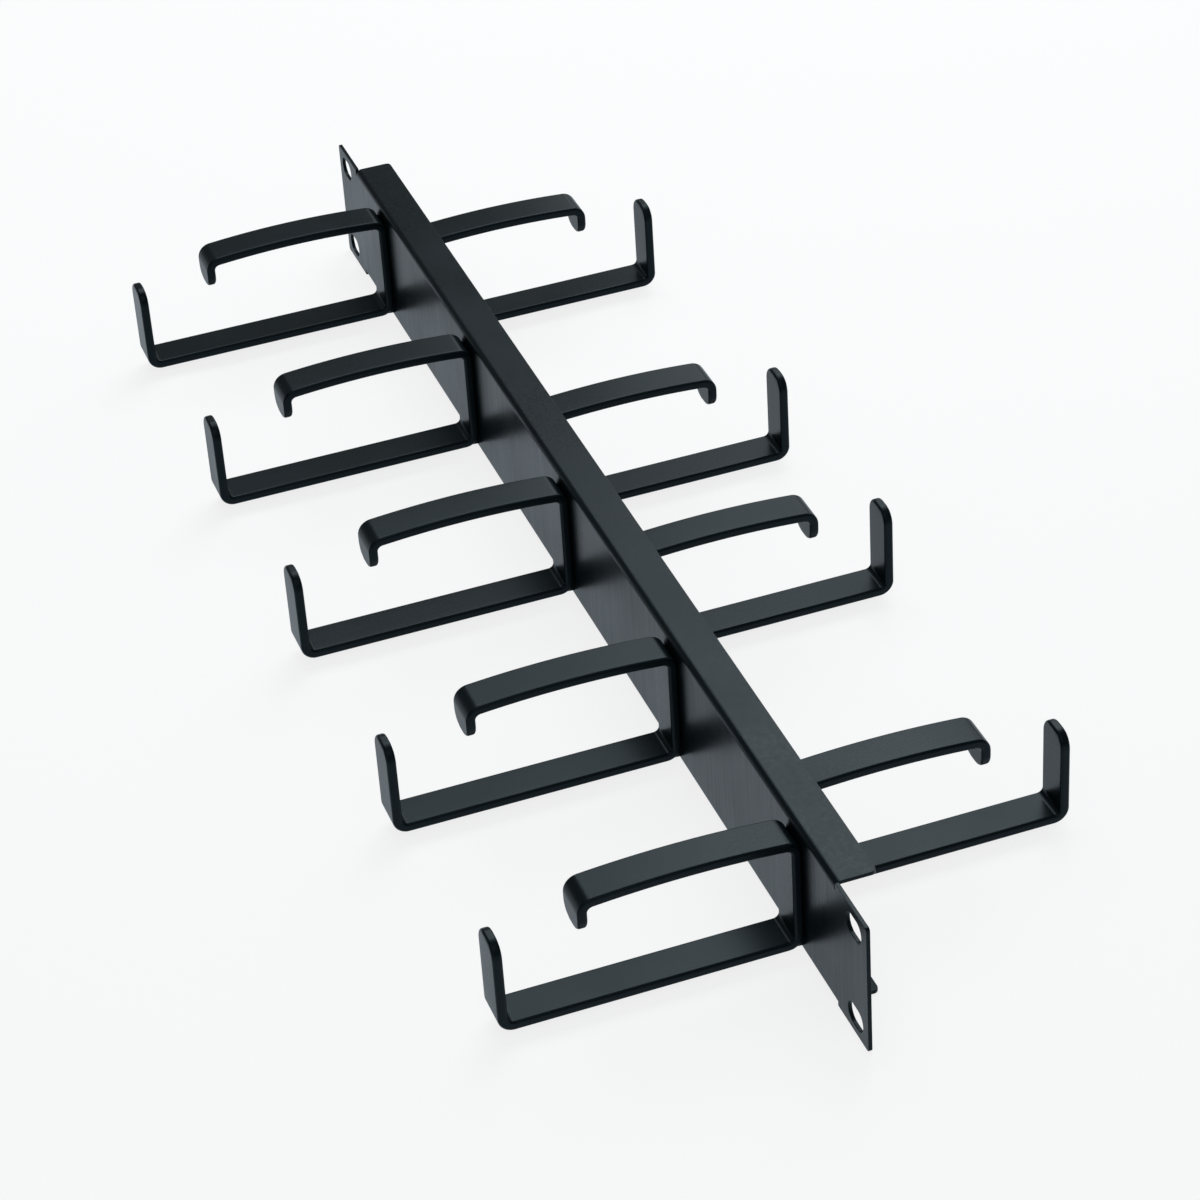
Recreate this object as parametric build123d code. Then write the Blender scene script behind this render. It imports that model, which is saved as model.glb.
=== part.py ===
from build123d import *
import os

# Horizontal cable manager for a 19-inch rack, one rack unit high. All lengths are in millimetres.
# X runs along the panel and Z is up. The plane Y = 0 is the back of the ears, which seats on the
# rack's rails, so the front of the panel faces -Y and the inside of the rack lies towards +Y.
# The origin is the middle of the four rack slots, on that plane.

# Folded sheet panel
panel_length = 482.6
panel_height = 43.66
sheet = 1.2
ear_width = 21.6
flange_depth = 12.7
panel_bend_inside = 0.9
ear_corner_radius = 1.0
flange_corner_radius = 1.6
relief_width = 0.4
relief_margin = 0.15

# Rack slots: the middle of each lies this far from the ear's end and from its nearer long edge
slot_to_ear_end = 8.75
slot_to_long_edge = 5.955
slot_width = 7.0
slot_length = 10.3

# Flat bar that every ring is bent from
bar_width = 12.7
bar_thickness = 3.0
bar_bend_inside = 1.8
bar_edge_break = 0.55
bar_end_flat = 2.7

# Ring: reaches are measured from the sheet's face that the ring stands on
ring_to_long_edge = 2.78
lower_arm_reach = 91.0
upturned_end_height = 31.0
upper_arm_reach = 66.0
downturned_tip_straight = 1.7
upper_arm_rise = 1.5

# Weld bead in the groove behind the lower root bend: its face slopes from the sheet up into the bar
weld_toe = 0.45
weld_sink = 0.5
weld_end_margin = 1.0

# Rings along the panel: the outer ones are placed from the flanges' ends
front_ring_count = 5
front_ring_margin = 29.2
rear_ring_margin = 50.4
rear_ring_middle_offset = 43.0

# Worked out from the sizes above
half_height = panel_height / 2
half_sheet = sheet / 2
front_face = -sheet
flange_length = panel_length - 2 * ear_width
panel_bend_outside = panel_bend_inside + sheet
ring_height = panel_height - 2 * ring_to_long_edge
half_bar = bar_thickness / 2
bar_bend_outside = bar_bend_inside + bar_thickness
bar_end_radius = (bar_width - bar_end_flat) / 2
downturned_tip_height = bar_bend_outside + downturned_tip_straight + bar_end_radius
front_ring_span = flange_length - 2 * front_ring_margin
front_ring_places = [
    front_ring_span * (index / (front_ring_count - 1) - 1 / 2) for index in range(front_ring_count)
]
rear_ring_outer_offset = flange_length / 2 - rear_ring_margin
rear_ring_places = [
    -rear_ring_outer_offset,
    -rear_ring_middle_offset,
    rear_ring_middle_offset,
    rear_ring_outer_offset,
]


def bent_strip(middle_line, bend_inside, thickness):
    """Return the section of a strip that is bent along the line through the middle of its thickness."""
    line = Wire(middle_line)
    bent_line = line.fillet_2d(bend_inside + thickness / 2, line.vertices()[1:-1])
    return trace(bent_line, thickness)


def make_panel():
    """Return the one-piece panel: a flat web with two ears and a flange folded back on each long edge."""
    web = front_face + half_sheet
    flange = half_height - half_sheet
    flange_tip = front_face + flange_depth
    fold_line = Polyline((flange_tip, flange), (web, flange), (web, -flange), (flange_tip, -flange))
    section = bent_strip(fold_line.edges(), panel_bend_inside, sheet)
    channel = extrude(Plane.YZ * section, amount=flange_length / 2, both=True)
    flange_corners = channel.edges().filter_by(Axis.Z).group_by(Axis.Y)[-1]
    channel = fillet(flange_corners, flange_corner_radius)

    # The flat sheet stops short of the bends, and a narrow relief parts each ear from the flanges
    plate = RectangleRounded(panel_length, panel_height, ear_corner_radius)
    slot_columns = panel_length - 2 * slot_to_ear_end
    slot_rows = panel_height - 2 * slot_to_long_edge
    slots = GridLocations(slot_columns, slot_rows, 2, 2) * SlotOverall(slot_length, slot_width)
    relief_depth = panel_bend_outside + relief_margin
    bend_bands = GridLocations(0, panel_height, 1, 2) * Rectangle(
        flange_length + 2 * relief_width, 2 * relief_depth
    )
    flat = Plane.XZ * (plate - slots - bend_bands)
    return channel + extrude(flat, amount=sheet)


def make_weld():
    """Return the bead that fills the groove between the sheet and a ring's lower root bend."""
    toe = -ring_height / 2 - weld_toe
    sunk_edge = weld_sink - ring_height / 2
    bend_end = bar_bend_outside - ring_height / 2
    section = Polygon(
        (0, toe), (-bar_bend_outside, sunk_edge), (-half_bar, bend_end), (0, bend_end), align=None
    )
    return extrude(Plane.YZ * section, amount=bar_width / 2 - weld_end_margin, both=True)


def make_ring():
    """Return one ring standing on the plane Y = 0 and reaching towards -Y, centred on X = 0."""
    foot = -half_bar
    tip = half_bar - upper_arm_reach
    upright = half_bar - lower_arm_reach
    arm = ring_height / 2 - half_bar
    root = (foot, arm)
    tip_corner = (tip, arm)
    tip_end = (tip, ring_height / 2 - downturned_tip_height)
    upper_arm_crown = ((foot + tip) / 2, arm + upper_arm_rise)
    lower_arm = Polyline(
        root,
        (foot, -arm),
        (upright, -arm),
        (upright, upturned_end_height - ring_height / 2),
    )
    middle_line = [
        Line(tip_end, tip_corner),
        ThreePointArc(tip_corner, upper_arm_crown, root),
        *lower_arm.edges(),
    ]
    section = bent_strip(middle_line, bar_bend_inside, bar_thickness)
    ring = extrude(Plane.YZ * section, amount=bar_width / 2, both=True)

    # Both ends of the bar are rounded off across its width
    end_corners = ring.edges().filter_by(Axis.Y).sort_by(SortBy.LENGTH)[:4]
    ring = fillet(end_corners, bar_end_radius)

    # The outer side's edges are broken: from the underside the break runs on round bends and ends
    underside = ring.faces().sort_by(Axis.Z)[0]
    return chamfer(underside.edges().filter_by(Axis.Y), bar_edge_break) + make_weld()


def make_parts():
    """Return every piece in its place, by name."""
    ring = make_ring()
    parts = {"channel_panel": make_panel()}
    for number, place in enumerate(front_ring_places, start=1):
        parts[f"front_ring_{number}"] = Pos(place, front_face, 0) * ring
    for number, place in enumerate(rear_ring_places, start=1):
        parts[f"rear_ring_{number}"] = Pos(place, 0, 0) * Rot(0, 0, 180) * ring
    return parts


if __name__ == "__main__":
    os.makedirs("parts", exist_ok=True)
    for name, solid in make_parts().items():
        export_step(solid, f"parts/{name}.step")
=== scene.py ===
"""Looks of a double-sided horizontal cable manager, all of it black powder-coated steel.

Sizes are millimetres in the classes below and metres in the meshes. X runs along the panel, the inside
of the rack lies towards +Y, and Z is up.
"""

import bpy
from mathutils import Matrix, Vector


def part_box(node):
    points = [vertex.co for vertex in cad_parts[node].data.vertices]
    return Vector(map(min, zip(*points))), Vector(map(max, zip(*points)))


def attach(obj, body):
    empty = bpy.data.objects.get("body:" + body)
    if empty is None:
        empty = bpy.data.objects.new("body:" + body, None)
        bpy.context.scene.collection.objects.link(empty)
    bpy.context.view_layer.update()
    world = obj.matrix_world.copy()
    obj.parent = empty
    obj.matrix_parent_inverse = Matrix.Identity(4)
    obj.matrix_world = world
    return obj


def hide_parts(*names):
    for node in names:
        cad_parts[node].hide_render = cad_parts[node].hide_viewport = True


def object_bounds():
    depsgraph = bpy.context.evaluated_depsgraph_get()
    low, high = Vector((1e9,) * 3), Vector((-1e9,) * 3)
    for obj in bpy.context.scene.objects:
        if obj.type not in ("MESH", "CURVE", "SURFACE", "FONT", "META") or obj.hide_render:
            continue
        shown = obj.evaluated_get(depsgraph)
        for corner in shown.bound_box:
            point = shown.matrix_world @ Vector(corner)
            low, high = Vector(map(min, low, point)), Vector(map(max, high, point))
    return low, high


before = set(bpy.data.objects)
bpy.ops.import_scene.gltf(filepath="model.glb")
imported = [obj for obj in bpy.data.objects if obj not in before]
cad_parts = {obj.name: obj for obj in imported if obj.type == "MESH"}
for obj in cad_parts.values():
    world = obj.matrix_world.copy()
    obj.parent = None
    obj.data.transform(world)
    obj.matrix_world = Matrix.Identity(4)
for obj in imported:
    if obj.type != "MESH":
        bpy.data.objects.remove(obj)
CAD_BOX = [[float(value) for value in corner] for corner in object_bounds()]

import logging
from dataclasses import dataclass, field
from enum import Enum

import bmesh
import bpy
import numpy as np
from mathutils import Matrix, Vector

LOG = logging.getLogger("cable_manager")
MILLIMETRE = 0.001
BODY = "root"

# In millimetres: points closer than a seam are merged, and a step under the other is no step
SEAM = 0.002
NEARLY_ZERO = 1e-6

# Inputs of a colour mix node that take its two colours, and the output that gives the mixed one
FIRST_COLOUR = 6
SECOND_COLOUR = 7
MIXED_COLOUR = 2


class Side(Enum):
    """The face of the panel that a ring stands on, as the sign of its reach along Y."""

    FRONT = -1
    REAR = 1


class Wander(Enum):
    """What makes the gloss of a surface wander from place to place."""

    SPRAYED = "film thickness alone"
    DRAWN = "film thickness over the draw lines of rolled sheet"


def linear_colour(hex_code: str) -> tuple[float, float, float, float]:
    """Turn an sRGB colour into the linear values that the shaders take.

    Args:
        hex_code: Six hexadecimal digits, red first.

    Returns:
        Linear red, green and blue, and an alpha of one.
    """
    shares = np.array([int(hex_code[start : start + 2], 16) for start in (0, 2, 4)]) / 255
    values = np.where(shares <= 0.04045, shares / 12.92, ((shares + 0.055) / 1.055) ** 2.4)
    return (*(float(value) for value in values), 1.0)


def add_node(
    tree: bpy.types.NodeTree,
    kind: str,
    settings: dict[str | int, object] | None = None,
    links: dict[str | int, bpy.types.NodeSocket] | None = None,
) -> bpy.types.Node:
    """Add a shader node, set its properties and input values, and link its inputs.

    Args:
        tree: The node tree that the node is added to.
        kind: The node's type name.
        settings: Property names, and input names or numbers, with their values.
        links: Input names or numbers with the sockets that feed them.

    Returns:
        The new node.
    """
    node = tree.nodes.new(kind)
    for name, value in (settings or {}).items():
        if isinstance(name, str) and hasattr(node, name):
            setattr(node, name, value)
        else:
            node.inputs[name].default_value = value
    for name, source in (links or {}).items():
        tree.links.new(source, node.inputs[name])
    return node


@dataclass(frozen=True)
class PowderCoat:
    """Polyester powder coat, sprayed on steel and baked.

    The coat flows as it cures, so it is satin to the eye: reflections are soft, a low orange peel
    breaks them up, and at a glancing angle the black turns clearly lighter. It turns a little cool there
    from the cool lamps, and from the painted cooler colour that the floor's light takes in reflections.

    Attributes:
        name: The material's name.
        wander: What makes the gloss wander.
        colour: The coat's own colour, sRGB.
        thin_colour: Its colour where it lies a little thinner, sRGB.
        shine_colour: Tint of its shine when it is seen straight on, sRGB.
        roughness: Mean roughness of the surface.
        roughness_swing: How far the roughness wanders to each side of the mean.
        refractive_index: Below the resin's own 1.5, as the fine texture scatters part of the shine.
        peel_mm: Spacing of the orange peel.
        peel_height_mm: Height of the orange peel.
        grain_mm: Spacing of the fine texture, drawn coarser than the real 0.05 mm so that it shows.
        cloud_mm: Spacing of the slow changes in film thickness.
        line_mm: Spacing of the faint upright draw lines in rolled sheet.
        line_stretch: How many times longer than wide the draw lines are.
        noise_detail: How many finer layers each noise has.
        noise_sum: Between which values the sum of two noises mostly lies.
    """

    name: str
    wander: Wander = Wander.SPRAYED
    colour: str = "060d10"
    thin_colour: str = "0c1518"
    shine_colour: str = "dcf5ff"
    roughness: float = 0.31
    roughness_swing: float = 0.05
    refractive_index: float = 1.22
    peel_mm: float = 1.7
    peel_height_mm: float = 0.006
    grain_mm: float = 0.4
    cloud_mm: float = 40.0
    line_mm: float = 1.3
    line_stretch: float = 40.0
    noise_detail: float = 2.0
    noise_sum: tuple[float, float] = (0.7, 1.3)

    def build(self) -> bpy.types.Material:
        """Make the node material.

        Returns:
            The material, which reads Object coordinates.
        """
        material = bpy.data.materials.new(self.name)
        material.use_nodes = True
        tree = material.node_tree
        tree.nodes.clear()
        place = add_node(tree, "ShaderNodeTexCoord").outputs["Object"]
        fine_place, fine_mm = place, self.grain_mm
        if self.wander is Wander.DRAWN:
            # The lines run upright, so the pattern is squeezed along Z
            squeeze = {"Scale": (1.0, 1.0, 1 / self.line_stretch)}
            fine_place = add_node(tree, "ShaderNodeMapping", squeeze, {"Vector": place}).outputs[0]
            fine_mm = self.line_mm
        cloud, fine, peel = (
            add_node(
                tree,
                "ShaderNodeTexNoise",
                {"Scale": 1 / (spacing * MILLIMETRE), "Detail": self.noise_detail},
                {"Vector": source},
            ).outputs["Fac"]
            for spacing, source in (
                (self.cloud_mm, place),
                (fine_mm, fine_place),
                (self.peel_mm, place),
            )
        )
        shades = {
            "data_type": "RGBA",
            FIRST_COLOUR: linear_colour(self.colour),
            SECOND_COLOUR: linear_colour(self.thin_colour),
        }
        tint = add_node(tree, "ShaderNodeMix", shades, {0: cloud}).outputs[MIXED_COLOUR]
        mixed = add_node(
            tree, "ShaderNodeMath", {"operation": "ADD"}, {0: cloud, 1: fine}
        ).outputs[0]
        swing = {
            "From Min": self.noise_sum[0],
            "From Max": self.noise_sum[1],
            "To Min": self.roughness - self.roughness_swing,
            "To Max": self.roughness + self.roughness_swing,
        }
        gloss = add_node(tree, "ShaderNodeMapRange", swing, {"Value": mixed}).outputs["Result"]
        relief = {"Strength": 1.0, "Distance": self.peel_height_mm * MILLIMETRE}
        bump = add_node(tree, "ShaderNodeBump", relief, {"Height": peel}).outputs["Normal"]
        shine = {
            "IOR": self.refractive_index,
            "Specular Tint": linear_colour(self.shine_colour),
        }
        shader = add_node(
            tree,
            "ShaderNodeBsdfPrincipled",
            shine,
            {"Base Color": tint, "Roughness": gloss, "Normal": bump},
        ).outputs[0]
        add_node(tree, "ShaderNodeOutputMaterial", None, {"Surface": shader})
        return material


@dataclass(frozen=True)
class StudioFloor:
    """Matt white paper under the object.

    The camera and reflections see part of the paper as even light of its own, as a bleached product
    picture shows it, and the rest takes the lamps and the object's soft shadow. The camera sees that
    light as white, while reflections in the object see it in a cooler colour: a painted cool tint in
    the reflections, as the photograph's blacks show.

    Attributes:
        name: The material's name.
        colour: The paper's colour, sRGB.
        bleached_colour: The even light's colour as the camera sees it, sRGB.
        painted_reflection_colour: Its colour in the object's reflections, sRGB.
        bleach_share: How much of what is seen of the paper is that even light.
    """

    name: str = "matt_white_paper"
    colour: str = "f2f2f2"
    bleached_colour: str = "ffffff"
    # Painted cool tint that the floor's light takes in reflections only
    painted_reflection_colour: str = "e6f4ff"
    bleach_share: float = 0.82

    def build(self) -> bpy.types.Material:
        """Make the node material.

        Returns:
            The material, whose even light the camera and reflections alone see.
        """
        material = bpy.data.materials.new(self.name)
        material.use_nodes = True
        tree = material.node_tree
        tree.nodes.clear()
        ray = add_node(tree, "ShaderNodeLightPath")
        camera_ray = ray.outputs["Is Camera Ray"]
        seen = camera_ray
        for kind in ("Is Glossy Ray", "Is Transmission Ray"):
            pair = {0: seen, 1: ray.outputs[kind]}
            seen = add_node(tree, "ShaderNodeMath", {"operation": "MAXIMUM"}, pair).outputs[0]
        share = add_node(
            tree, "ShaderNodeMath", {"operation": "MULTIPLY", 1: self.bleach_share}, {0: seen}
        ).outputs[0]
        paper = add_node(tree, "ShaderNodeBsdfDiffuse", {"Color": linear_colour(self.colour)})
        # The camera sees the even light white, and reflections see it in the painted cooler colour
        casts = {
            "data_type": "RGBA",
            FIRST_COLOUR: linear_colour(self.painted_reflection_colour),
            SECOND_COLOUR: linear_colour(self.bleached_colour),
        }
        cast = add_node(tree, "ShaderNodeMix", casts, {0: camera_ray}).outputs[MIXED_COLOUR]
        even = add_node(tree, "ShaderNodeEmission", {"Strength": 1.0}, {"Color": cast})
        surface = add_node(
            tree,
            "ShaderNodeMixShader",
            None,
            {0: share, 1: paper.outputs[0], 2: even.outputs[0]},
        ).outputs[0]
        add_node(tree, "ShaderNodeOutputMaterial", None, {"Surface": surface})
        return material


def mesh_object(name: str, points: np.ndarray, faces: list[list[int]]) -> bpy.types.Object:
    """Put points and faces into a new smooth-shaded object at the origin.

    Args:
        name: The object's name.
        points: One row of X, Y and Z for each point, in millimetres.
        faces: The numbers of each face's points.

    Returns:
        The new object, linked to the scene.
    """
    mesh = bpy.data.meshes.new(name)
    mesh.from_pydata((points * MILLIMETRE).tolist(), [], faces)
    mesh.polygons.foreach_set("use_smooth", np.ones(len(mesh.polygons), bool))
    mesh.update()
    made = bpy.data.objects.new(name, mesh)
    bpy.context.scene.collection.objects.link(made)
    return made


def grid_faces(rows: int, columns: int, first: int = 0, wrap: bool = False) -> np.ndarray:
    """Number the quads of a grid of points that lies in memory row by row.

    Args:
        rows: How many rows of points the grid has.
        columns: How many points a row has.
        first: The number of the grid's first point.
        wrap: Whether each row closes on itself.

    Returns:
        One row of four point numbers for each quad.
    """
    row, column = np.meshgrid(
        np.arange(rows - 1), np.arange(columns if wrap else columns - 1), indexing="ij"
    )
    after = (column + 1) % columns
    corners = [row * columns + column, row * columns + after]
    corners += [(row + 1) * columns + after, (row + 1) * columns + column]
    return first + np.stack(corners, axis=-1).reshape(-1, 4)


def tube_faces(stations: int, around: int, first: int) -> list[list[int]]:
    """Number the faces of a tube of points, with a flat cap at each end.

    Args:
        stations: How many rows of points follow each other along the tube.
        around: How many points each row has.
        first: The number of the tube's first point.

    Returns:
        The quads and the two caps.
    """
    quads = grid_faces(stations, around, first, wrap=True).tolist()
    ring = list(range(first, first + around))
    last = [number + (stations - 1) * around for number in ring]
    return [*quads, ring[::-1], last]


def arc(
    centre: tuple[float, float], radius: float, start: float, end: float, step: float
) -> np.ndarray:
    """Return points on an arc, both ends included, as centre plus radius times cosine and sine.

    Args:
        centre: The arc's centre.
        radius: The arc's radius.
        start: The angle of its first point, in degrees.
        end: The angle of its last point, in degrees.
        step: The largest angle between two points, in degrees.

    Returns:
        One row of two coordinates for each point.
    """
    count = int(np.ceil(abs(end - start) / step)) + 1
    angle = np.radians(np.linspace(start, end, count))
    return np.array(centre) + radius * np.stack([np.cos(angle), np.sin(angle)], axis=-1)


@dataclass
class FoldedPanel:
    """The rack panel, folded from one sheet: a web with two slotted ears and two flanges.

    The outer face of the sheet is worked out first, as the section's line carried along X and as four
    ear patches round the slots, and then gets the sheet's thickness and broken edges.

    Attributes:
        node: The CAD node that the panel stands for.
        ear_width: From the flange's end to the ear's end.
        bend_inside: Inside radius of the two folds.
        ear_corner: Corner radius of the ears.
        flange_corner: Corner radius of the flanges.
        relief_width: Width of the notch between a flange and an ear.
        relief_margin: How far the notch reaches past the bend.
        slot_to_end: From a slot's middle to the ear's end.
        slot_to_edge: From a slot's middle to the ear's long edge.
        slot_width: Width of a rack slot.
        slot_length: Length of a rack slot.
        edge_round: Radius to which the coat rounds the sheet's edges.
        pitch: Spacing of the mesh along the panel.
        step: Largest angle between two points of a curve, in degrees.
        corner_step: Largest angle between two points of an ear's corner, in degrees.
        corner_segments: How many facets round a flange's corner.
        patch_shares: Where the rows of points between a slot's rim and the ear's outline lie.
        low: The panel's lowest corner.
        high: Its highest corner.
    """

    node: str = "channel_panel"
    ear_width: float = 21.6
    bend_inside: float = 0.9
    ear_corner: float = 1.0
    flange_corner: float = 1.6
    relief_width: float = 0.4
    relief_margin: float = 0.15
    slot_to_end: float = 8.75
    slot_to_edge: float = 5.955
    slot_width: float = 7.0
    slot_length: float = 10.3
    edge_round: float = 0.28
    pitch: float = 8.0
    step: float = 7.5
    corner_step: float = 15.0
    corner_segments: int = 6
    patch_shares: tuple[float, ...] = (0.0, 0.12, 0.45, 1.0)
    low: np.ndarray = field(init=False)
    high: np.ndarray = field(init=False)

    def __post_init__(self) -> None:
        """Take the panel's overall size and its sheet from the CAD node, whose ears' back is at Y zero."""
        low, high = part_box(self.node)
        self.low = np.array(low) / MILLIMETRE
        self.high = np.array(high) / MILLIMETRE

    @property
    def sheet(self) -> float:
        """Thickness of the sheet."""
        return -self.low[1]

    @property
    def bend_outside(self) -> float:
        """Outside radius of the folds."""
        return self.bend_inside + self.sheet

    @property
    def half_flange(self) -> float:
        """Half the length of a flange."""
        return self.high[0] - self.ear_width

    @property
    def web_edge(self) -> float:
        """Height at which the notches beside the folds begin."""
        return self.high[2] - self.bend_outside - self.relief_margin

    def _outline(self) -> np.ndarray:
        """Work out the outline of the upper half of the right ear, round its slot.

        It runs up the side that joins the web, round the notch, along the top, round the corner, down
        the ear's end and back along the middle of the panel. Each straight side is cut where rays at
        even angles from the slot's middle meet it.

        Returns:
            One row of X and Z for each point.
        """
        corner = (self.high[0] - self.ear_corner, self.high[2] - self.ear_corner)
        notch = self.half_flange + self.relief_width
        turns = np.array(
            [
                (self.half_flange, 0.0),
                (self.half_flange, self.web_edge),
                (notch, self.web_edge),
                (notch, self.high[2]),
                (corner[0], self.high[2]),
            ]
        )
        rounded = arc(corner, self.ear_corner, 90.0, 0.0, self.corner_step)
        end = np.array([(self.high[0], corner[1]), (self.high[0], 0.0), (self.half_flange, 0.0)])
        sides = [self._cut(turns[i], turns[i + 1]) for i in range(len(turns) - 1)]
        sides += [rounded[:-1]]
        sides += [self._cut(end[i], end[i + 1]) for i in range(len(end) - 1)]
        return np.concatenate(sides)

    def _slot_middle(self) -> np.ndarray:
        """Return the middle of the upper right slot, as X and Z."""
        return np.array([self.high[0] - self.slot_to_end, self.high[2] - self.slot_to_edge])

    def _cut(self, start: np.ndarray, end: np.ndarray) -> np.ndarray:
        """Cut one straight side where rays at even angles from the slot's middle meet it.

        A ray reaches as far as the cross product of the side's offset from the middle and the side,
        divided by the cross product of the ray and the side.

        Args:
            start: The side's first point, as X and Z.
            end: Its last point, which is left to the next side.

        Returns:
            The points, one in each row.
        """
        middle = self._slot_middle()
        bearing = np.arctan2(*(np.stack([start, end]) - middle).T[::-1])
        turn = (bearing[1] - bearing[0] + np.pi) % (2 * np.pi) - np.pi
        count = max(1, int(np.ceil(abs(np.degrees(turn)) / self.step)))
        angle = bearing[0] + turn * np.arange(count) / count
        ray = np.stack([np.cos(angle), np.sin(angle)], axis=-1)
        side = end - start
        offset = start - middle
        reach = (offset[0] * side[1] - offset[1] * side[0]) / (
            ray[:, 0] * side[1] - ray[:, 1] * side[0]
        )
        return middle + ray * reach[:, None]

    def _slot_rim(self, outline: np.ndarray) -> np.ndarray:
        """Find the point of the slot's rim that lies on the same bearing as each outline point.

        The slot is a straight run of its length less its width, closed by two half circles. A ray
        meets the straight side at half the width over its rise, and beyond it the half circle.

        Args:
            outline: The points of the outline round the slot, as X and Z.

        Returns:
            One row of X and Z for each of them.
        """
        ray = outline - self._slot_middle()
        ray /= np.linalg.norm(ray, axis=1)[:, None]
        radius = self.slot_width / 2
        run = (self.slot_length - self.slot_width) / 2
        across, up = np.abs(ray).T
        flat = radius / np.maximum(up, NEARLY_ZERO)
        curved = run * across + np.sqrt(np.maximum(radius**2 - (run * up) ** 2, 0.0))
        reach = np.where(flat * across <= run, flat, curved)
        return self._slot_middle() + ray * reach[:, None]

    def _ear(self, side: int, upper: int, first: int) -> tuple[np.ndarray, np.ndarray]:
        """Work out the ear patch round one slot.

        Args:
            side: 1 for the right ear and -1 for the left one.
            upper: 1 for the upper half and -1 for the lower one.
            first: The number of the patch's first point.

        Returns:
            The patch's points and its quads, which face the front.
        """
        outline = self._outline()
        rim = self._slot_rim(outline)
        share = np.array(self.patch_shares)[:, None, None]
        flat = rim + (outline - rim) * share
        front = np.full(flat.shape[:2], self.low[1])
        points = np.stack([side * flat[..., 0], front, upper * flat[..., 1]], axis=-1)
        quads = grid_faces(len(share), len(outline), first, wrap=True)
        return points.reshape(-1, 3), quads if side * upper > 0 else quads[:, ::-1]

    def _section(self) -> np.ndarray:
        """Work out the line of the sheet's outer face across the folds, from tip to tip.

        Its upper half is the flange, the quarter circle of the fold, and half of the web, whose points
        are level with those of the ear's outline so that the two join. The lower half mirrors it.

        Returns:
            One row of Y and Z for each point.
        """
        centre = (self.low[1] + self.bend_outside, self.high[2] - self.bend_outside)
        fold = arc(centre, self.bend_outside, 90.0, 180.0, self.step)
        outline = self._outline()
        web = np.unique(outline[np.isclose(outline[:, 0], self.half_flange), 1])[::-1]
        upper_web = np.stack([np.full(len(web), self.low[1]), web], axis=-1)
        upper = np.concatenate([[self.high[1:]], fold, upper_web])
        return np.concatenate([upper, upper[-2::-1] * (1, -1)])

    def _channel(self) -> tuple[np.ndarray, np.ndarray]:
        """Carry the section's line along X, from one end of the flanges to the other.

        Returns:
            The points and the quads, which face outwards.
        """
        section = self._section()
        stations = int(2 * self.half_flange / self.pitch) + 1
        along = np.linspace(-self.half_flange, self.half_flange, stations)
        grid = np.empty((len(section), stations, 3))
        grid[..., 0] = along
        grid[..., 1:] = section[:, None, :]
        return grid.reshape(-1, 3), grid_faces(*grid.shape[:2])[:, ::-1]

    def _mark_corners(self, panel: bpy.types.Object) -> str:
        """Put the four outer corners of the flanges in a vertex group.

        Args:
            panel: The panel, whose mesh is the sheet's outer face.

        Returns:
            The group's name.
        """
        places = np.empty(len(panel.data.vertices) * 3)
        panel.data.vertices.foreach_get("co", places)
        reach = np.abs(places.reshape(-1, 3) / MILLIMETRE)
        corner = np.array([self.half_flange, self.high[1], self.high[2]])
        marked = np.flatnonzero(np.all(np.abs(reach - corner) < SEAM, axis=1))
        group = panel.vertex_groups.new(name="flange_corners")
        group.add(marked.tolist(), 1.0, "REPLACE")
        return group.name

    def build(self, material: bpy.types.Material) -> bpy.types.Object:
        """Make the panel and let it stand for its CAD node.

        Args:
            material: The finish of the sheet.

        Returns:
            The panel.
        """
        points, faces = self._channel()
        clouds = [points]
        quads = [faces]
        for side in (1, -1):
            for upper in (1, -1):
                ear, ear_quads = self._ear(side, upper, sum(len(cloud) for cloud in clouds))
                clouds.append(ear)
                quads.append(ear_quads)
        panel = mesh_object(
            "folded_panel", np.concatenate(clouds), np.concatenate(quads).tolist()
        )
        close_seams(panel)
        thicken(panel, self.sheet)
        corners = panel.modifiers.new("flange_corners", "BEVEL")
        corners.width = self.flange_corner * MILLIMETRE
        corners.segments = self.corner_segments
        corners.limit_method = "VGROUP"
        corners.vertex_group = self._mark_corners(panel)
        round_edges(panel, self.edge_round)
        keep_flats(panel)
        return dress(panel, material, self.node)


def close_seams(piece: bpy.types.Object) -> None:
    """Merge the points that neighbouring patches share.

    Args:
        piece: The piece, whose mesh is made of patches.
    """
    work = bmesh.new()
    work.from_mesh(piece.data)
    bmesh.ops.remove_doubles(work, verts=work.verts, dist=SEAM * MILLIMETRE)
    work.to_mesh(piece.data)
    work.free()


def thicken(piece: bpy.types.Object, thickness: float) -> None:
    """Give a sheet its thickness, behind the face that it has.

    Args:
        piece: The piece, whose mesh is the sheet's outer face.
        thickness: The sheet's thickness, in millimetres.
    """
    wall = piece.modifiers.new("sheet", "SOLIDIFY")
    wall.thickness = thickness * MILLIMETRE
    wall.offset = -1
    wall.use_even_offset = True


def round_edges(
    piece: bpy.types.Object, radius: float, sharpest: float = 50.0, segments: int = 3
) -> None:
    """Round the sharp edges of a piece, and close the seams that this leaves in its tight corners.

    Args:
        piece: The piece.
        radius: The radius of its edges, in millimetres.
        sharpest: The largest angle between two faces that stays as it is, in degrees.
        segments: How many facets round an edge.
    """
    edge = piece.modifiers.new("coated_edges", "BEVEL")
    edge.width = radius * MILLIMETRE
    edge.segments = segments
    edge.limit_method = "ANGLE"
    edge.angle_limit = np.radians(sharpest)
    seams = piece.modifiers.new("closed_seams", "WELD")
    seams.merge_threshold = SEAM * MILLIMETRE


def keep_flats(piece: bpy.types.Object) -> None:
    """Let the largest faces alone turn the shading, so that flats beside round edges look flat."""
    flats = piece.modifiers.new("true_flats", "WEIGHTED_NORMAL")
    # The most that the modifier takes
    flats.weight = 100


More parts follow.
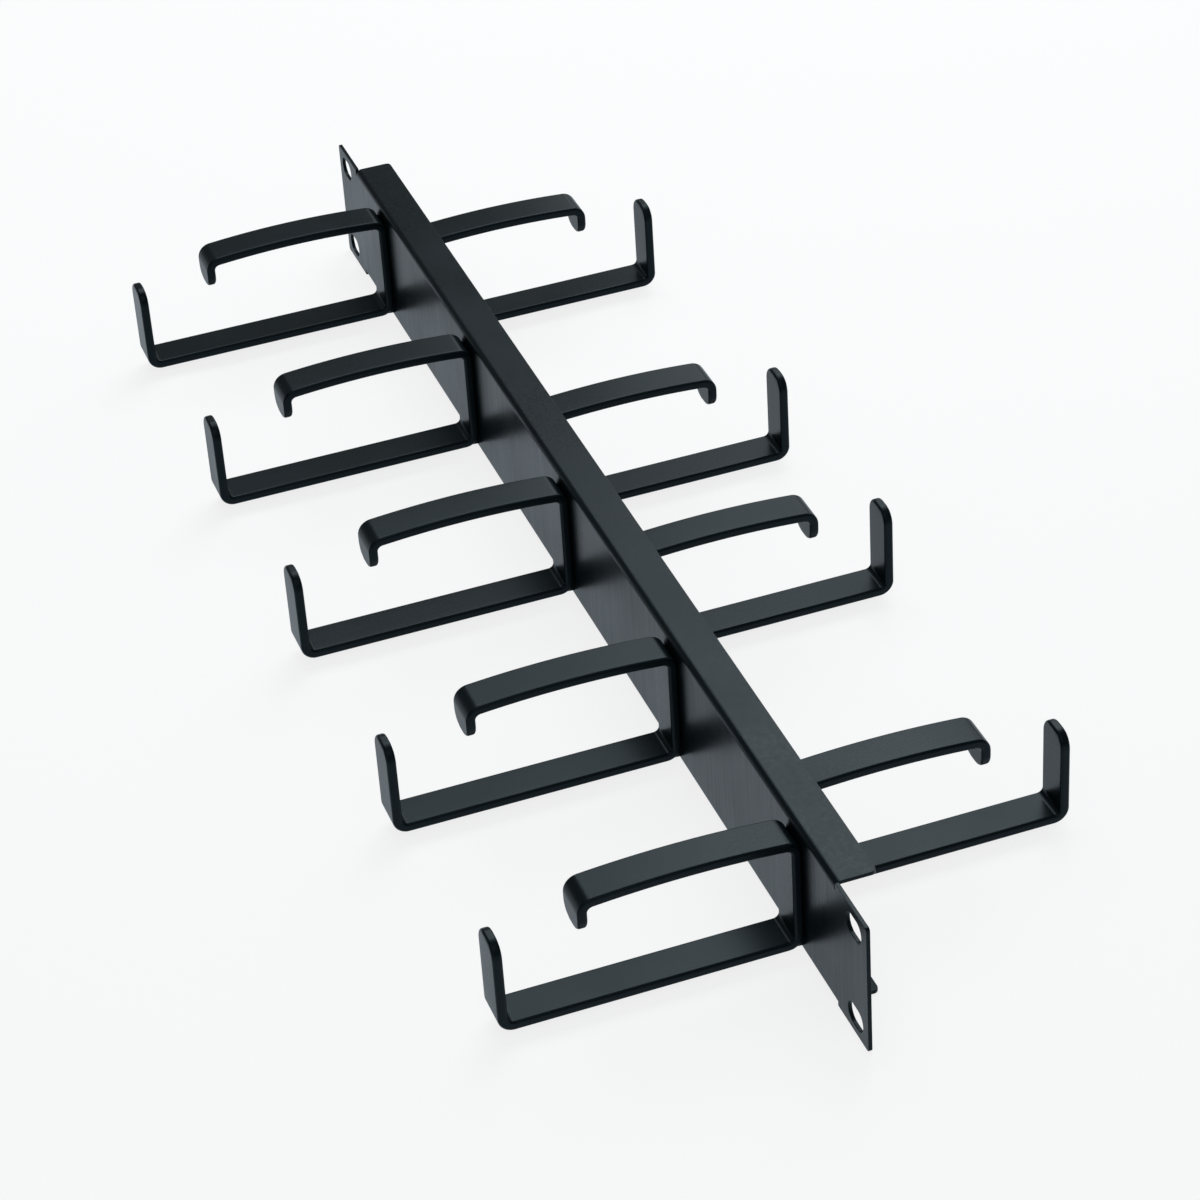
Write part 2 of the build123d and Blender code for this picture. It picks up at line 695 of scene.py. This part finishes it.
def dress(
    piece: bpy.types.Object, material: bpy.types.Material, node: str
) -> bpy.types.Object:
    """Give a piece its finish and let it stand for a CAD node.

    Args:
        piece: The finished mesh.
        material: Its finish.
        node: The CAD node that it replaces.

    Returns:
        The piece.
    """
    piece.data.materials.append(material)
    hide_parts(node)
    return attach(piece, BODY)


@dataclass
class BarRing:
    """One open cable ring, bent from flat bar whose edges are rolled round.

    The bar's section is carried along the middle line of the ring. Its half thickness at a point is
    the core's half thickness plus the height of the edge's quarter circle, which depends only on how
    far the point lies inside the bar's plan outline, so the rounded ends come from the same formula.

    Attributes:
        node: The CAD node that the ring stands for.
        side: The face of the panel that it stands on.
        thickness: Thickness of the bar.
        bend_inside: Inside radius of the bends.
        edge_round: Radius of the bar's long edges.
        end_flat: Straight part of the bar's end between its rounded corners.
        upper_reach: From the panel's face to the far side of the downturned tip.
        upright_height: From the ring's underside to the top of the upturned end.
        tip_height: From the corner above the downturned tip to the tip's end.
        rise: How far the upper arm arches up between its two corners.
        step: Largest angle between two points of a bend, in degrees.
        weld_toe: How far a weld bead reaches along the sheet past the ring's height.
        weld_sink: How far below the ring's height its face is where the root bend ends.
        weld_margin: From the bar's long edges to the bead's ends.
        weld_bulge: How far the bead's face swells between the sheet and the bar.
        ripple: Spacing of the bead's ripples.
        ripple_depth: How much of the swelling comes and goes with the ripples, from 0 to 0.5.
        end_stations: Distances from an end of the bar at which its mesh has a row of points.
        half_arch_rows: How many rows of points each half of the arched arm has.
        edge_points: How many points a rounded edge has across the bar.
        flat_shares: Where the points on half of the bar's flat side lie across it.
        bead_points: How many points the bead's face has between the sheet and the bar.
        rows_per_ripple: How many rows of points each ripple of the bead has.
        middle: Where the ring's middle lies along the panel.
        width: Width of the bar.
        lower_reach: From the panel's face to the far side of the upturned end.
        face: Where the panel's face lies along Y.
        underside: Height of the ring's underside.
        top: Height of the upper arm at its two corners.
    """

    node: str
    side: Side
    thickness: float = 3.0
    bend_inside: float = 1.8
    edge_round: float = 0.9
    end_flat: float = 2.7
    upper_reach: float = 66.0
    upright_height: float = 31.0
    tip_height: float = 11.5
    rise: float = 1.5
    step: float = 7.5
    weld_toe: float = 0.45
    weld_sink: float = 0.5
    weld_margin: float = 1.0
    weld_bulge: float = 0.2
    ripple: float = 1.3
    ripple_depth: float = 0.25
    end_stations: tuple[float, ...] = (0, 0.05, 0.15, 0.3, 0.5, 0.75, 1, 1.5, 2.2, 3.1, 4.1, 5)
    half_arch_rows: int = 9
    edge_points: int = 7
    flat_shares: tuple[float, ...] = (0.0, 0.5)
    bead_points: int = 9
    rows_per_ripple: int = 8
    middle: float = field(init=False)
    width: float = field(init=False)
    lower_reach: float = field(init=False)
    face: float = field(init=False)
    underside: float = field(init=False)
    top: float = field(init=False)

    def __post_init__(self) -> None:
        """Take the ring's place, width, reach and height from its CAD node."""
        low, high = (np.array(corner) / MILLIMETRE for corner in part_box(self.node))
        self.middle = (low[0] + high[0]) / 2
        self.width = high[0] - low[0]
        self.lower_reach = high[1] - low[1]
        self.face = high[1] if self.side is Side.FRONT else low[1]
        self.underside = low[2] + self.weld_toe
        self.top = high[2] - self.rise

    def _middle_line(self) -> tuple[np.ndarray, np.ndarray, np.ndarray]:
        """Work out the middle line of the bar from the downturned tip's end to the upturned end's.

        Each stretch is straight or an arc, and meets the next in line with it. The arch of the upper
        arm is a circle through both of the arm's corners and its crown. A bend's centre lies one bend
        radius inside the upright line and on a circle about the arch's centre that is one bend radius
        smaller than the arch.

        Returns:
            For each point its reach from the panel's face and its height, the angle of the normal that
            points out of the ring, and its distance from the nearer end of the bar.
        """
        half = self.thickness / 2
        bend = self.bend_inside + half
        foot = half
        tip = self.upper_reach - half
        upright = self.lower_reach - half
        arm = self.top - half
        base = self.underside + half
        half_chord = (tip - foot) / 2
        arch = (half_chord**2 + self.rise**2) / (2 * self.rise)
        arch_centre = (foot + half_chord, arm + self.rise - arch)
        shoulder = arch_centre[1] + np.sqrt((arch - bend) ** 2 - (half_chord - bend) ** 2)
        lean = np.degrees(np.arctan2(half_chord - bend, shoulder - arch_centre[1]))
        tip_end = self.top - self.tip_height
        upright_end = self.underside + self.upright_height
        near_end = np.array(self.end_stations)
        # A heading is an angle from the reach axis: 0 points away from the panel, 90 up
        stretches = [
            straight(tip, tip_end + near_end, 0.0),
            bent((tip - bend, shoulder), bend, 0.0, 90.0 - lean, self.step),
            bent(arch_centre, arch, 90.0 - lean, 90.0 + lean, lean / self.half_arch_rows),
            bent((foot + bend, shoulder), bend, 90.0 + lean, 180.0, self.step),
            bent((foot + bend, base + bend), bend, 180.0, 270.0, self.step),
            bent((upright - bend, base + bend), bend, 270.0, 360.0, self.step),
            straight(upright, upright_end - near_end[::-1], 360.0),
        ]
        line = np.concatenate(stretches)
        steps = np.linalg.norm(np.diff(line[:, :2], axis=0), axis=1)
        line = line[np.concatenate([[True], steps > NEARLY_ZERO])]
        steps = np.linalg.norm(np.diff(line[:, :2], axis=0), axis=1)
        travelled = np.concatenate([[0.0], np.cumsum(steps)])
        return line[:, :2], np.radians(line[:, 2]), np.minimum(travelled, travelled[-1] - travelled)

    def _section(self, distance: np.ndarray) -> tuple[np.ndarray, np.ndarray]:
        """Work out the bar's section at each station.

        Near an end the section is narrower, by the quarter circle of the end's corner. A point is as
        far inside the plan outline as its distance to the nearest long edge, end or corner arc.

        Args:
            distance: How far each station lies from the nearer end of the bar.

        Returns:
            For each station and each point round the section, the place across the bar's width and
            the height over its middle plane.
        """
        half_width = self.width / 2
        corner = half_width - self.end_flat / 2
        into = np.clip(corner - distance, 0.0, corner)[:, None]
        reach = half_width - corner + np.sqrt(corner**2 - into**2)
        turn = np.radians(np.linspace(0, 90, self.edge_points))
        edge = reach - self.edge_round * (1 - np.sin(turn))
        flat = np.maximum(edge[:, :1], 0.0) * np.array(self.flat_shares)
        quarter = np.concatenate([flat, np.maximum(edge, 0.0)], axis=1)
        past = np.maximum(quarter - half_width + corner, 0.0)
        inside = np.minimum(half_width - quarter, distance[:, None])
        inside = np.where((into > 0) & (past > 0), corner - np.hypot(past, into), inside)
        inside = np.clip(inside, 0.0, self.edge_round)
        core = self.thickness / 2 - self.edge_round
        height = core + np.sqrt(self.edge_round**2 - (self.edge_round - inside) ** 2)
        across = np.concatenate(
            [quarter, quarter[:, ::-1], -quarter[:, 1:], -quarter[:, :0:-1]], axis=1
        )
        over = np.concatenate(
            [height, -height[:, ::-1], -height[:, 1:], height[:, :0:-1]], axis=1
        )
        return across, over

    def build(self, material: bpy.types.Material) -> bpy.types.Object:
        """Make the ring and let it stand for its CAD node.

        Args:
            material: The finish of the bar.

        Returns:
            The ring.
        """
        line, heading, distance = self._middle_line()
        across, over = self._section(distance)
        normal = np.stack([np.cos(heading), np.sin(heading)], axis=-1)
        place = line[:, None, :] + over[..., None] * normal[:, None, :]
        bar = np.concatenate([across[..., None], place], axis=-1)
        points: list[np.ndarray] = []
        faces: list[list[int]] = []
        for grid in (bar, self._bead()):
            faces += tube_faces(*grid.shape[:2], sum(len(rows) for rows in points))
            points.append(grid.reshape(-1, 3))
        spot = np.concatenate(points)
        spot = np.array([self.middle, self.face, 0.0]) + spot * (1, self.side.value, 1)
        if self.side is Side.REAR:
            faces = [face[::-1] for face in faces]
        ring = mesh_object(f"bar_{self.node}", spot, faces)
        keep_flats(ring)
        return dress(ring, material, self.node)

    def _bead(self) -> np.ndarray:
        """Work out the weld bead in the groove behind the lower root bend.

        Its section runs from the toe on the sheet to the end of the bend, swollen by four times the
        bulge times share times one less share, and closes inside the bar. Along the bar's width the
        swelling goes up and down with the ripples, and the bead draws in as the root of the distance
        to its ends.

        Returns:
            Rows of points across, away from the panel's face and up, one row for each station.
        """
        bend_end = self.bend_inside + self.thickness
        half = self.width / 2 - self.weld_margin
        share = np.linspace(0, 1, self.bead_points)
        fall = self.weld_toe + self.weld_sink
        slope = self.weld_toe - share * fall
        swell = 4 * self.weld_bulge * share * (1 - share)
        rows = int(2 * half / self.ripple * self.rows_per_ripple) + 1
        station = np.linspace(-half, half, rows)
        ends = np.sqrt(np.clip((half - np.abs(station)) / self.weld_margin, 0, 1))
        turn = 2 * np.pi * station / self.ripple
        waves = 1 - self.ripple_depth * (1 - np.cos(turn))
        # The face keeps above the toe, so that the bead stays within the solid's box
        drop = np.minimum(slope + swell * (ends * waves)[:, None], self.weld_toe)
        drop -= (1 - ends)[:, None] * fall * (1 - share)
        reach = np.broadcast_to(share * bend_end, drop.shape)
        face = np.stack([reach, self.underside - drop], axis=-1)
        inside = self.underside + bend_end
        inner = np.array([(self.thickness / 2, inside), (0.0, inside)])
        closed = np.concatenate([face, np.broadcast_to(inner, (rows, *inner.shape))], axis=1)
        across = np.broadcast_to(station[:, None, None], (*closed.shape[:2], 1))
        return np.concatenate([across, closed], axis=-1)[:, ::-1]


def straight(reach: float, heights: np.ndarray, heading: float) -> np.ndarray:
    """Return points of an upright stretch, as reach, height and heading of the outward normal.

    Args:
        reach: How far the stretch lies from the panel's face.
        heights: The heights of its points.
        heading: Heading of its outward normal, in degrees.

    Returns:
        One row for each point.
    """
    return np.stack(
        [np.full(len(heights), reach), heights, np.full(len(heights), heading)], axis=-1
    )


def bent(
    centre: tuple[float, float], radius: float, start: float, end: float, step: float
) -> np.ndarray:
    """Return points of a bent stretch, as reach, height and heading of the outward normal.

    Args:
        centre: The bend's centre, as reach and height.
        radius: Radius of the bar's middle line.
        start: Heading of the first normal, in degrees.
        end: Heading of the last normal.
        step: The largest turn between two points.

    Returns:
        One row for each point.
    """
    points = arc(centre, radius, start, end, step)
    headings = np.linspace(start, end, len(points))
    return np.concatenate([points, headings[:, None]], axis=1)


@dataclass(frozen=True)
class Softbox:
    """A square studio lamp that faces the object.

    Attributes:
        name: The lamp's name.
        bearing: Where it stands, in degrees from the panel's left end towards the inside of the rack.
        elevation: Its angle above the horizon, in degrees.
        power: Its power in watts.
        distance: From the middle of the object, in metres.
        side: Length of its sides, in metres.
        colour: Colour of its light, sRGB.
    """

    name: str
    bearing: float
    elevation: float
    power: float
    distance: float = 1.3
    side: float = 0.9
    colour: str = "f2fbff"

    def build(self) -> bpy.types.Object:
        """Make the lamp and turn it to face the object.

        Returns:
            The lamp.
        """
        bearing, elevation = np.radians([self.bearing, self.elevation])
        level = np.cos(elevation)
        back = Vector((-level * np.cos(bearing), level * np.sin(bearing), np.sin(elevation)))
        light = bpy.data.lights.new(self.name, "AREA")
        light.size = self.side
        light.energy = self.power
        light.color = linear_colour(self.colour)[:3]
        lamp = bpy.data.objects.new(self.name, light)
        bpy.context.scene.collection.objects.link(lamp)
        lamp.location = back * self.distance
        lamp.rotation_euler = back.to_track_quat("Z", "Y").to_euler()
        return lamp


@dataclass(frozen=True)
class Studio:
    """The plain pale floor and soft lamps around the object.

    Attributes:
        ground: Light that comes evenly from all round.
        floor_size: Length of the floor's sides, in metres.
        floor_gap: Height of the lower flange over the floor, in millimetres, as paper isn't quite flat.
        lamps: The softboxes.
    """

    ground: float = 0.25
    floor_size: float = 60.0
    floor_gap: float = 0.1
    lamps: tuple[Softbox, ...] = (
        Softbox("high_left", bearing=18.0, elevation=58.0, power=9.8),
        Softbox("low_left", bearing=42.0, elevation=33.0, power=4.7),
        Softbox("right", bearing=198.0, elevation=45.0, power=2.5),
    )

    def build(self) -> None:
        """Set up the world, the floor and the lamps."""
        scene = bpy.context.scene
        scene.view_settings.view_transform = "Standard"
        world = bpy.data.worlds.new("studio")
        scene.world = world
        world.use_nodes = True
        world.node_tree.nodes.clear()
        even = add_node(
            world.node_tree, "ShaderNodeBackground", {"Strength": self.ground}
        ).outputs[0]
        add_node(world.node_tree, "ShaderNodeOutputWorld", None, {"Surface": even})
        half = self.floor_size / 2 / MILLIMETRE
        height = CAD_BOX[0][2] / MILLIMETRE - self.floor_gap
        square = np.array([(-half, -half), (half, -half), (half, half), (-half, half)])
        corners = np.column_stack([square, np.full(len(square), height)])
        floor = mesh_object("floor", corners, [[0, 1, 2, 3]])
        floor.data.materials.append(StudioFloor().build())
        for lamp in self.lamps:
            lamp.build()


@dataclass(frozen=True)
class ProductCamera:
    """A long lens that looks down the panel from its right-hand end, as the photograph does.

    Attributes:
        azimuth: Bearing of the camera, in degrees from straight in front towards +X.
        elevation: Its angle above the horizon, in degrees.
        roll: How far the picture leans, in degrees.
        distance: From the aimed point to the lens, in millimetres.
        aim_along: Where the aimed point lies along the panel, in millimetres.
        aim_depth: Its place along Y, in millimetres.
        raise_by: How far the camera is moved up in its own frame, in millimetres.
        focal_pixels: Focal length in pixels of a picture 1200 wide.
        picture: Width of that picture.
        sensor: Width of the sensor, in millimetres.
    """

    azimuth: float = 72.136
    elevation: float = 35.161
    roll: float = -3.959
    distance: float = 1184.9
    aim_along: float = 32.26
    aim_depth: float = -1.2
    raise_by: float = -4.44
    focal_pixels: float = 3802.5
    picture: float = 1200.0
    sensor: float = 36.0

    def build(self) -> bpy.types.Object:
        """Place the camera and make it the scene's.

        Returns:
            The camera.
        """
        azimuth, elevation, roll = np.radians([self.azimuth, self.elevation, self.roll])
        back = np.array(
            [
                np.sin(azimuth) * np.cos(elevation),
                -np.cos(azimuth) * np.cos(elevation),
                np.sin(elevation),
            ]
        )
        level = np.cross(-back, (0, 0, 1))
        level /= np.linalg.norm(level)
        upright = np.cross(level, -back)
        right = np.cos(roll) * level + np.sin(roll) * upright
        up = np.cos(roll) * upright - np.sin(roll) * level
        aim = np.array([self.aim_along, self.aim_depth, 0.0])
        place = (aim + up * self.raise_by + back * self.distance) * MILLIMETRE
        lens = bpy.data.cameras.new("product_camera")
        lens.sensor_width = self.sensor
        lens.lens = self.focal_pixels / self.picture * self.sensor
        camera = bpy.data.objects.new("product_camera", lens)
        bpy.context.scene.collection.objects.link(camera)
        turn = Matrix(np.column_stack([right, up, back]).tolist()).to_4x4()
        camera.matrix_world = Matrix.Translation(place.tolist()) @ turn
        bpy.context.scene.camera = camera
        return camera


def main() -> None:
    """Build the panel, the rings and the studio, and report each piece."""
    logging.basicConfig(level=logging.INFO, format="%(name)s: %(message)s")
    sheet_coat = PowderCoat("black_powder_coated_sheet_steel", Wander.DRAWN).build()
    bar_coat = PowderCoat("black_powder_coated_bar_steel").build()
    panel = FoldedPanel().build(sheet_coat)
    LOG.info("built %s", panel.name)
    for side, prefix in ((Side.FRONT, "front_ring_"), (Side.REAR, "rear_ring_")):
        for node in sorted(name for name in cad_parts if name.startswith(prefix)):
            ring = BarRing(node, side).build(bar_coat)
            LOG.info("built %s", ring.name)
    Studio().build()
    ProductCamera().build()


if __name__ == "__main__":
    main()
